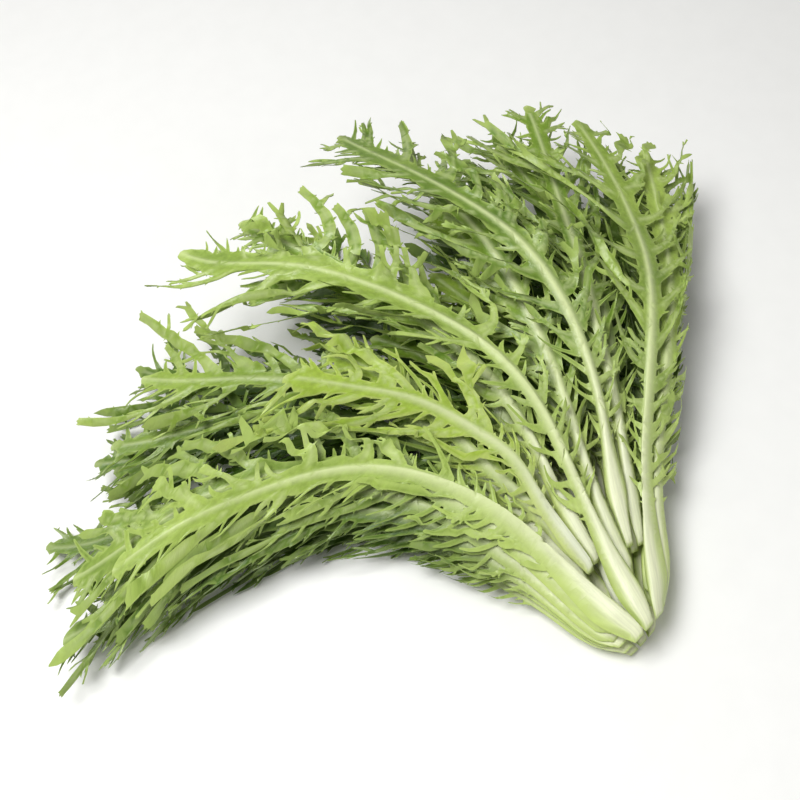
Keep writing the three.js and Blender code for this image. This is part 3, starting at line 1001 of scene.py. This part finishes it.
    def thickness(self, share: np.ndarray, off: np.ndarray, vein: np.ndarray) -> np.ndarray:
        """Returns the leaf's thickness: a round stalk, then a rib raised on a thin blade.

        Args:
            share: shares of the leaf's length.
            off: distances off the rib.
            vein: how near the middle of a lobe is, from 0 to 1.

        Returns:
            Thicknesses in millimetres.
        """
        rib = self.layout.rib_thick(self.cell, share)
        half = self.layout.half_width(self.cell, share)
        round_stalk = np.sqrt(np.maximum(1 - (off / half) ** 2, 0.0))
        stalk = self.stalk_rim_thick + (rib - self.stalk_rim_thick) * round_stalk
        ridge = np.exp(-((off / self.rib_half(share)) ** 2))
        blade = self.blade_thick + (rib - self.blade_thick) * ridge + self.vein_thick * vein
        thick = mix(stalk, blade, ease(share, 0.14, 0.32))
        in_foot = np.clip(share * self.cell.length / self.foot_round, 0.0, 1.0)
        return thick * np.sqrt(np.maximum(1 - (1 - in_foot) ** 2, 0.04))

    def points(self, flat: np.ndarray) -> tuple[np.ndarray, np.ndarray, dict[str, np.ndarray]]:
        """Takes the flat leaf to its place in the head.

        Args:
            flat: places along the leaf and off its rib.

        Returns:
            Points of the upper face, points of the lower face, and what the finish reads.
        """
        layout, cell = self.layout, self.cell
        x, y = flat[:, 0], flat[:, 1]
        share = np.clip(x / cell.length, 0.0, 1.03)
        along = cell.foot + x
        lift, turned, vein = self.curl(x, y)
        opens = ease(share, 0.12, 0.45)
        across, half_across, layer, half_layer = layout.room(cell, along)
        scale = layout.across_scale(along, layer)
        sway = cell.sway * opens * np.sin(2 * cell.wave_phase + layout.sway_turns * share)
        most = half_across * (1 - np.sign(y) * sway) * scale - layout.cell_gap / 2
        wave = cell.wave * np.sin(cell.wave_phase + 9 * share)
        rise = ease(np.abs(self.lobe_rise * lift + wave), 0, 1) * opens * cell.highest
        most = most * (1 + (self.over_bound - 1) * ease(rise, 0.1, 0.6))
        wide = np.abs(y) / most
        wide = np.where(wide > 0.75, 0.75 + 0.25 * np.tanh((wide - 0.75) / 0.25), wide)
        beside = np.sign(y) * wide * most
        at = across + half_across * sway + beside / scale
        per_layer = layout.layer_scale(along, at, layer)
        free = half_layer * per_layer - layout.layer_gap / 2
        thick = self.thickness(share, np.abs(y), vein)
        thick = np.minimum(thick, self.thick_of_free * free)
        spare = np.maximum(free - thick / 2, 0.05)
        lean = opens * (wave + cell.roll * beside / np.maximum(most, layout.lobe_reach))
        outward = 1 if float(np.mean(layer)) > 0 else -1
        half = layout.half_width(cell, share)
        hollow = outward * self.stalk_hollow * np.clip(np.abs(y) / half, 0, 1) ** 2 * (1 - opens)
        level = lean + lift * ease(share, 0.05, 0.3) - hollow
        level = level / (1 + np.abs(level) ** 3) ** (1 / 3) * spare
        if cell.lowest:
            level = -free + thick / 2 + free * layout.rest_lift * np.abs(np.clip(lift, -1, 1))
        turned = self.turn_lowest * np.abs(turned) if cell.lowest else self.turn * turned
        level = level + free * layout.top_rise * rise + turned
        above = 0.5 + self.rib_outside * outward
        upper = layout.place(along, at, layer + (level + thick * above) / per_layer)
        lower = layout.place(along, at, layer + (level - thick * (1 - above)) / per_layer)
        facts = {
            "share": share,
            "rib": np.exp(-((y / (self.rib_half(share) * 1.25)) ** 2)),
            "vein": vein,
            "margin": ease(np.abs(y) / half, 0.45, 1.0),
            # Leaves far inside the head are darkened by painted shade.
            "deep": self.deep(share, at, layer),
        }
        return upper, lower, facts

    @staticmethod
    def deep(share: np.ndarray, across: np.ndarray, layer: np.ndarray) -> np.ndarray:
        """Returns the painted shade for a point far inside the head: 1 under its thick middle, 0
        outside.

        Args:
            share: shares of the leaf's length.
            across: places across the fan.
            layer: places in the fan's height.

        Returns:
            Depths from 0 to 1.
        """
        below = 1 - ease(layer, -0.1, 0.72)
        inside = 1 - 0.55 * ease(np.abs(across), 0.55, 1.0)
        return below * inside * ease(share, 0.14, 0.4) * (1 - 0.6 * ease(share, 0.7, 1.0))

    def build(self, origin: np.ndarray) -> bpy.types.Object:
        """Builds the leaf as a closed mesh in the row frame.

        Args:
            origin: where the layout's own origin lies in the row frame, in millimetres.

        Returns:
            The leaf.
        """
        flat = FlatOutline()
        self.add_middle(flat)
        self.add_spines(flat)
        for lobe in (*self.cell.lobes, *self.frills):
            self.add_lobe(flat, lobe)
        corners, faces = flat.triangles()
        upper, lower, facts = self.points(corners)
        count = len(corners)
        sides = np.concatenate([faces[:, [0, 1]], faces[:, [1, 2]], faces[:, [2, 0]]])
        codes = sides[:, 0] * count + sides[:, 1]
        opposite = sides[:, 1] * count + sides[:, 0]
        rim = sides[~np.isin(codes, opposite)]
        # Across the leaf runs from right to left when it is seen from above, so faces turn over.
        upper_faces = faces[:, ::-1]
        lower_faces = faces + count
        walls = [(a, b, b + count, a + count) for a, b in rim.tolist()]
        points = (np.concatenate([upper, lower]) + origin) * MM
        # The stalks that the head rests on are pressed flat where they meet the floor.
        points[:, 2] = np.maximum(points[:, 2], 0.0)
        all_faces = upper_faces.tolist() + lower_faces.tolist() + walls
        edge = np.zeros(count)
        edge[np.unique(rim)] = 1.0
        # Each leaf's green is drawn at random, but leaves in low layers keep to the darker end:
        # painted shade.
        depth = float(ease((self.cell.low + self.cell.high) / 2, -0.6, 0.9))
        tone = np.full(count, self.random.uniform(0.0, 1.0) * mix(0.2, 0.72, depth))
        facts.update(edge=edge, tone=tone)
        facts = {name: np.tile(values, 2) for name, values in facts.items()}
        facts["leaf_mm"] = np.pad(np.tile(corners, (2, 1)), ((0, 0), (0, 1)))
        return make_piece(self.cell.node + "_fine", points, all_faces, facts, self.shade_sharp)


@dataclass
class NodeMaterial:
    """A material that is put together node by node."""

    name: str

    def __post_init__(self) -> None:
        """Makes the empty material."""
        self.material = bpy.data.materials.new(self.name)
        self.material.use_nodes = True
        self.tree = self.material.node_tree
        self.tree.nodes.clear()

    def add(self, kind: str, settings: dict | None = None, **links: object) -> bpy.types.Node:
        """Adds a node with its settings and links.

        Args:
            kind: the node's type name.
            settings: properties of the node, by name.
            **links: for each input, named with underscores for spaces or as in_ and its
                number, an output socket to link or a value to set.

        Returns:
            The node.
        """
        node = self.tree.nodes.new(kind)
        for name, value in (settings or {}).items():
            setattr(node, name, value)
        for name, value in links.items():
            key = int(name[3:]) if name.startswith("in_") else name.replace("_", " ")
            socket = node.inputs[key]
            if isinstance(value, bpy.types.NodeSocket):
                self.tree.links.new(value, socket)
            else:
                socket.default_value = value
        return node


@dataclass(frozen=True)
class FreshLeaf:
    """Fresh endive leaf: thin wet tissue that light passes through, on a pale fleshy rib.

    A leaf's skin is waxy, so it gives soft broad highlights, and the blade glows yellow-green
    where light comes through it.
    """

    name: str
    blade_deep: str
    blade_bright: str
    rib: str
    stalk: str
    edge: str
    margin: str
    # Colour that blades far inside the head are darkened by: painted shade.
    shaded: str = "#6E8A48"
    roughness: float = 0.36
    ior: float = 1.42
    through: float = 0.16
    edge_share: float = 0.55
    vein_share: float = 0.4
    rib_share: float = 0.96
    rib_share_tip: float = 0.5
    groove_mm: float = 0.25
    patch_mm: float = 26.0
    mottle_mm: float = 3.0
    streak_mm: float = 1.3
    streak_run: float = 0.06
    network_mm: float = 2.4

    def build(self) -> bpy.types.Material:
        """Builds the material.

        Returns:
            The finished material.
        """
        own = NodeMaterial(self.name)
        read = {
            fact: own.add("ShaderNodeAttribute", {"attribute_name": fact}).outputs["Fac"]
            for fact in ("share", "rib", "vein", "edge", "tone", "margin", "deep")
        }
        flat = own.add("ShaderNodeAttribute", {"attribute_name": "leaf_mm"}).outputs["Vector"]
        patches = own.add(
            "ShaderNodeTexNoise", Vector=flat, Scale=1 / self.patch_mm, Detail=4.0, Roughness=0.6
        ).outputs["Fac"]
        fine = own.add(
            "ShaderNodeTexNoise", Vector=flat, Scale=1 / self.mottle_mm, Detail=3.0, Roughness=0.6
        ).outputs["Fac"]
        # Each leaf's random green, kept darker in low layers as painted shade, and large patches set
        # the blade between its two greens.
        summed = own.add("ShaderNodeMath", {"operation": "ADD"}, in_0=patches, in_1=read["tone"])
        spread = own.add(
            "ShaderNodeMapRange", Value=summed.outputs[0], From_Min=0.45, From_Max=1.3
        )
        mottled = own.add(
            "ShaderNodeMapRange", Value=fine, From_Min=0.3, From_Max=0.7, To_Min=0.84, To_Max=1.14
        )
        edged = own.add(
            "ShaderNodeMath", {"operation": "MULTIPLY"}, in_0=read["edge"], in_1=self.edge_share
        )
        fades = own.add(
            "ShaderNodeMapRange",
            {"interpolation_type": "SMOOTHSTEP"},
            Value=read["share"],
            From_Min=0.45,
            From_Max=1.0,
            To_Min=self.rib_share,
            To_Max=self.rib_share_tip,
        )
        ribbed = own.add(
            "ShaderNodeMath", {"operation": "MULTIPLY"}, in_0=read["rib"], in_1=fades.outputs[0]
        )
        veined = own.add(
            "ShaderNodeMath", {"operation": "MULTIPLY"}, in_0=read["vein"], in_1=self.vein_share
        )
        both = own.add(
            "ShaderNodeMath", {"operation": "MAXIMUM"}, in_0=ribbed.outputs[0], in_1=veined.outputs[0]
        )
        stalkward = own.add(
            "ShaderNodeMapRange",
            {"interpolation_type": "SMOOTHSTEP"},
            Value=read["share"],
            From_Min=0.1,
            From_Max=0.42,
            To_Min=1.0,
            To_Max=0.0,
        )
        stretched = own.add(
            "ShaderNodeMapping", Vector=flat, Scale=(self.streak_run, 1 / self.streak_mm, 1.0)
        )
        streaks = own.add(
            "ShaderNodeTexNoise", Vector=stretched.outputs[0], Scale=1.0, Detail=2.0
        ).outputs["Fac"]
        streaked = own.add(
            "ShaderNodeMapRange",
            Value=streaks,
            From_Min=0.35,
            From_Max=0.65,
            To_Min=0.9,
            To_Max=1.04,
        )
        # Each coat lies over the ones before it, by its share, or darkens them.
        over = {"data_type": "RGBA"}
        times = {"data_type": "RGBA", "blend_type": "MULTIPLY"}
        flesh = linear(self.stalk)
        for coat, share, colour in (
            (over, read["margin"], linear(self.margin)),
            (times, 1.0, streaked.outputs[0]),
        ):
            flesh = own.add(
                "ShaderNodeMix", coat, in_0=share, in_6=flesh, in_7=colour
            ).outputs[2]
        # The last coat is painted shade: blades far inside the head are darkened as if in the others'
        # shade, which darkens the gaps.
        tissue = linear(self.blade_deep)
        for coat, share, colour in (
            (over, spread.outputs[0], linear(self.blade_bright)),
            (times, 1.0, mottled.outputs[0]),
            (over, edged.outputs[0], linear(self.edge)),
            (over, both.outputs[0], linear(self.rib)),
            (over, stalkward.outputs[0], flesh),
            (times, read["deep"], linear(self.shaded)),
        ):
            tissue = own.add(
                "ShaderNodeMix", coat, in_0=share, in_6=tissue, in_7=colour
            ).outputs[2]
        network = own.add(
            "ShaderNodeTexVoronoi",
            {"feature": "DISTANCE_TO_EDGE"},
            Vector=flat,
            Scale=1 / self.network_mm,
        )
        grooves = own.add(
            "ShaderNodeMapRange", Value=network.outputs["Distance"], From_Max=0.12, To_Max=1.0
        )
        surface = own.add(
            "ShaderNodeMath", {"operation": "ADD"}, in_0=grooves.outputs[0], in_1=streaks
        )
        bump = own.add(
            "ShaderNodeBump",
            Strength=0.22,
            Distance=self.groove_mm * MM,
            Height=surface.outputs[0],
        )
        gloss = own.add(
            "ShaderNodeMapRange",
            Value=fine,
            To_Min=self.roughness - 0.1,
            To_Max=self.roughness + 0.12,
        )
        skin = own.add(
            "ShaderNodeBsdfPrincipled",
            Base_Color=tissue,
            Roughness=gloss.outputs[0],
            IOR=self.ior,
            Normal=bump.outputs[0],
        )
        glow = own.add("ShaderNodeBsdfTranslucent", Color=tissue, Normal=bump.outputs[0])
        body = own.add("ShaderNodeMixShader", in_0=self.through)
        own.tree.links.new(skin.outputs[0], body.inputs[1])
        own.tree.links.new(glow.outputs[0], body.inputs[2])
        own.add("ShaderNodeOutputMaterial", Surface=body.outputs[0])
        return own.material


@dataclass(frozen=True)
class CutCrown:
    """Crown flesh: white, firm and moist, cut across with a knife.

    The cut face is matt and slightly fibrous, and browns a little in the middle and at its rim.
    """

    name: str = "cut_crown_flesh"
    flesh: str = "#E9ECD2"
    browned: str = "#B39A62"
    roughness: float = 0.55
    fibre_mm: float = 1.1

    def build(self) -> bpy.types.Material:
        """Builds the material.

        Returns:
            The finished material.
        """
        own = NodeMaterial(self.name)
        cut = own.add("ShaderNodeAttribute", {"attribute_name": "cut"}).outputs["Fac"]
        place = own.add("ShaderNodeTexCoord").outputs["Object"]
        blotches = own.add(
            "ShaderNodeTexNoise", Vector=place, Scale=1 / (5 * MM), Detail=5.0
        ).outputs["Fac"]
        spots = own.add("ShaderNodeMapRange", Value=blotches, From_Min=0.42, From_Max=0.68)
        browning = own.add(
            "ShaderNodeMath", {"operation": "MULTIPLY"}, in_0=cut, in_1=spots.outputs[0]
        )
        colour = own.add(
            "ShaderNodeMix",
            {"data_type": "RGBA"},
            Factor=browning.outputs[0],
            in_6=linear(self.flesh),
            in_7=linear(self.browned),
        )
        fibres = own.add(
            "ShaderNodeTexVoronoi", Vector=place, Scale=1 / (self.fibre_mm * MM)
        ).outputs["Distance"]
        bump = own.add("ShaderNodeBump", Strength=0.3, Distance=0.3 * MM, Height=fibres)
        skin = own.add(
            "ShaderNodeBsdfPrincipled",
            Base_Color=colour.outputs[2],
            Roughness=self.roughness,
            Normal=bump.outputs[0],
        )
        own.add("ShaderNodeOutputMaterial", Surface=skin.outputs[0])
        return own.material


OUTER_LEAF = FreshLeaf(
    name="fresh_outer_leaf",
    blade_deep="#4B701C",
    blade_bright="#B0C860",
    rib="#DFEAAE",
    stalk="#F1F5D0",
    edge="#BDD277",
    margin="#C9DC80",
)
MIDDLE_LEAF = FreshLeaf(
    name="fresh_middle_leaf",
    blade_deep="#628724",
    blade_bright="#B8D060",
    rib="#E4EDB4",
    stalk="#F3F6D6",
    edge="#CCDD86",
    margin="#D0E084",
)
HEART_LEAF = FreshLeaf(
    name="fresh_heart_leaf",
    blade_deep="#7C9E30",
    blade_bright="#B5CE52",
    rib="#E5EDBA",
    stalk="#F1F5DC",
    edge="#D9E58E",
    margin="#D9E598",
    through=0.3,
)


@dataclass
class Crown:
    """The short stem that all the leaves grow from, cut across at the butt."""

    layout: HeadLayout
    sides: int = 56
    stations: int = 26
    rings_in_cut: int = 9
    shade_sharp: float = math.radians(50)

    def build(self, origin: np.ndarray) -> bpy.types.Object:
        """Builds the crown as a closed mesh in the row frame.

        Args:
            origin: where the layout's own origin lies in the row frame, in millimetres.

        Returns:
            The crown.
        """
        layout = self.layout
        angle = 2 * math.pi * np.arange(self.sides) / self.sides
        uneven = 1 - 0.018 * (1 + np.sin(5 * angle + 1)) - 0.012 * (1 + np.sin(13 * angle))
        bevel, inset = layout.crown_bevel
        cut_centre = layout.middle(layout.crown_from)
        rings, cut = [], []
        for i in range(self.rings_in_cut):
            radius = layout.crown_radius * inset * (i + 0.4) / (self.rings_in_cut - 0.6)
            dish = 0.5 * (1 - (i / (self.rings_in_cut - 1)) ** 2)
            rings.append(self.ring(cut_centre + np.array([0, dish, 0]), radius * uneven, angle))
            cut.append(1.0)
        for i in range(self.stations):
            along = mix(layout.crown_from + bevel, layout.crown_length, i / self.stations)
            centre = layout.middle(along)
            radius = layout.crown_radius_at(along) * 0.985
            rings.append(self.ring(centre, radius * uneven, angle))
            cut.append(0.25 if i == 0 else 0.0)
        tip = layout.middle(layout.crown_length * 0.995)
        middle = cut_centre + np.array([0, 0.5, 0])
        points = np.concatenate([[middle], *rings, [tip]])
        cuts = np.concatenate([[1.0], np.repeat(cut, self.sides), [0.0]])
        faces = []
        last = len(points) - 1
        for i in range(self.sides):
            j = (i + 1) % self.sides
            faces.append((0, 1 + i, 1 + j))
            for row in range(len(rings) - 1):
                a = 1 + row * self.sides
                b = a + self.sides
                faces.append((a + i, b + i, b + j, a + j))
            top = 1 + (len(rings) - 1) * self.sides
            faces.append((top + i, last, top + j))
        return make_piece(
            "crown_fine", (points + origin) * MM, faces, {"cut": cuts}, self.shade_sharp
        )

    @staticmethod
    def ring(centre: np.ndarray, radius: np.ndarray, angle: np.ndarray) -> np.ndarray:
        """Returns a ring of points round a centre, upright and across the head.

        Args:
            centre: the ring's middle.
            radius: its radius at each angle.
            angle: the angles in radians.

        Returns:
            The ring's points.
        """
        x = centre[0] + radius * np.cos(angle)
        z = centre[2] + radius * np.sin(angle)
        return np.stack([x, np.full_like(x, centre[1]), z], axis=-1)


@dataclass
class Head:
    """The whole head: its crown and all its leaves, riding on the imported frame."""

    layout: HeadLayout = field(default_factory=HeadLayout)

    def origin(self) -> np.ndarray:
        """Finds where the layout's own origin lies in the row frame.

        Returns:
            The offset in millimetres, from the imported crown's box.
        """
        layout = self.layout
        low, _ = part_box("crown")
        angle = 2 * math.pi * (np.arange(layout.crown_sides) + 0.5) / layout.crown_sides
        bevel, inset = layout.crown_bevel
        cut = layout.middle(layout.crown_from)
        reach = [cut[0] + layout.crown_radius * inset * np.cos(angle).min()]
        for i in range(layout.crown_stations):
            share = i / layout.crown_stations
            along = mix(layout.crown_from + bevel, layout.crown_length, share)
            middle = layout.middle(along)
            radius = layout.crown_radius_at(along)
            reach.append(middle[0] + radius * np.cos(angle).min())
        x = low[0] / MM - min(reach)
        y = low[1] / MM - cut[1]
        return np.array([x, y, 0.0])

    def build(self) -> None:
        """Builds the crown and the leaves, and gives each its place on the frame."""
        origin = self.origin()
        log.info("layout origin at %s mm", np.round(origin, 2))
        crown = Crown(self.layout).build(origin)
        self.attach(crown, "crown", "crown", CutCrown().build())
        finishes = {
            Kind.OUTER: OUTER_LEAF.build(),
            Kind.MIDDLE: MIDDLE_LEAF.build(),
            Kind.HEART: HEART_LEAF.build(),
        }
        total = 0
        for cell in self.layout.cells():
            leaf = LeafBuilder(self.layout, cell).build(origin)
            self.attach(leaf, cell.node, f"{cell.kind.value}_leaf", finishes[cell.kind])
            total += sum(len(p.vertices) - 2 for p in leaf.data.polygons)
        log.info("%d triangles in all the leaves", total)

    @staticmethod
    def attach(piece: bpy.types.Object, node: str, slot: str, finish: bpy.types.Material) -> None:
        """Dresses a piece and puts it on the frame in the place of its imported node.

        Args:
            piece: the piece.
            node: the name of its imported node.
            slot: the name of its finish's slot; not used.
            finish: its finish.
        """
        piece.data.materials.append(finish)
        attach(piece, "root")
        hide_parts(node)
        log.info("%s: %d faces", piece.name, len(piece.data.polygons))


@dataclass
class Studio:
    """A plain pale floor, soft light from above, and the photograph's point of view."""

    azimuth: float = -44.5
    elevation: float = 60.0
    lens: float = 60.0
    distance: float = 0.685
    aim_forward: float = 0.112
    aim_left: float = 0.120
    aim_height: float = 0.050

    def build(self, butt: np.ndarray) -> None:
        """Builds the floor, the lights and the camera.

        Args:
            butt: where the head's butt is in the row frame, in metres.
        """
        self.floor()
        self.lights()
        self.camera(butt)
        log.info("studio ready")

    def floor(self) -> None:
        """Builds the pale floor."""
        bpy.ops.mesh.primitive_plane_add(size=12, location=(0, 0, 0))
        floor = bpy.context.object
        floor.name = "studio_floor"
        own = NodeMaterial("matt_white_board")
        place = own.add("ShaderNodeTexCoord").outputs["Object"]
        grain = own.add("ShaderNodeTexNoise", Vector=place, Scale=60.0, Detail=3.0)
        tint = own.add(
            "ShaderNodeMix",
            {"data_type": "RGBA"},
            Factor=grain.outputs["Fac"],
            in_6=linear("#F2F2F0"),
            in_7=linear("#F7F7F5"),
        )
        matt = own.add(
            "ShaderNodeBsdfPrincipled", Base_Color=tint.outputs[2], Roughness=0.85
        )
        own.add("ShaderNodeOutputMaterial", Surface=matt.outputs[0])
        floor.data.materials.append(own.material)

    def lights(self) -> None:
        """Adds the soft lamps and the pale surroundings."""
        world = bpy.data.worlds.new("pale_room")
        world.use_nodes = True
        nodes, links = world.node_tree.nodes, world.node_tree.links
        sky = nodes["Background"]
        sky.inputs["Color"].default_value = linear("#FAF9F2")
        # Pale walls all round and a dimmer ceiling, so that the lamps give the shadows.
        height = nodes.new("ShaderNodeSeparateXYZ")
        links.new(nodes.new("ShaderNodeTexCoord").outputs["Generated"], height.inputs[0])
        walls = nodes.new("ShaderNodeMapRange")
        walls.interpolation_type = "SMOOTHSTEP"
        walls.inputs["From Min"].default_value = 0.05
        walls.inputs["From Max"].default_value = 0.4
        walls.inputs["To Min"].default_value = 0.75
        walls.inputs["To Max"].default_value = 0.08
        links.new(height.outputs["Z"], walls.inputs["Value"])
        links.new(walls.outputs["Result"], sky.inputs["Strength"])
        bpy.context.scene.world = world
        self.lamp("key_softbox", (-0.4, 0.12, 1.1), 0.5, 14.5)
        self.lamp("fill_softbox", (0.3, -0.9, 0.8), 0.7, 2.2)
        self.lamp("back_softbox", (0.5, 0.95, 0.8), 0.7, 1.5)
        bpy.context.scene.view_settings.view_transform = "Standard"

    @staticmethod
    def lamp(name: str, place: tuple[float, float, float], size: float, power: float) -> None:
        """Adds a square soft lamp that faces the middle of the head.

        Args:
            name: the lamp's name.
            place: where it stands, in metres.
            size: its side, in metres.
            power: its power, in watts.
        """
        data = bpy.data.lights.new(name, "AREA")
        data.size = size
        data.energy = power
        lamp = bpy.data.objects.new(name, data)
        lamp.location = place
        towards = Vector((0, 0, 0.05)) - Vector(place)
        lamp.rotation_euler = towards.to_track_quat("-Z", "Y").to_euler()
        bpy.context.scene.collection.objects.link(lamp)

    def camera(self, butt: np.ndarray) -> None:
        """Adds the camera at the photograph's angle.

        Args:
            butt: where the head's butt is in the row frame, in metres.
        """
        turn, tilt = math.radians(self.azimuth), math.radians(self.elevation)
        forward = Vector((-math.sin(turn), math.cos(turn), 0))
        left = Vector((-math.cos(turn), -math.sin(turn), 0))
        aim = Vector((butt[0], butt[1], 0)) + forward * self.aim_forward + left * self.aim_left
        aim.z = self.aim_height
        back = Vector((0, 0, math.sin(tilt))) - forward * math.cos(tilt)
        data = bpy.data.cameras.new("photo_view")
        data.lens = self.lens
        data.clip_start = 0.01
        camera = bpy.data.objects.new("photo_view", data)
        camera.location = aim + back * self.distance
        camera.rotation_euler = (-back).to_track_quat("-Z", "Y").to_euler()
        bpy.context.scene.collection.objects.link(camera)
        bpy.context.scene.camera = camera


def main() -> None:
    """Builds the head and the studio."""
    logging.basicConfig(level=logging.INFO, format="%(message)s")
    head = Head()
    head.build()
    Studio().build(head.origin() * MM)


if __name__ == "__main__":
    main()
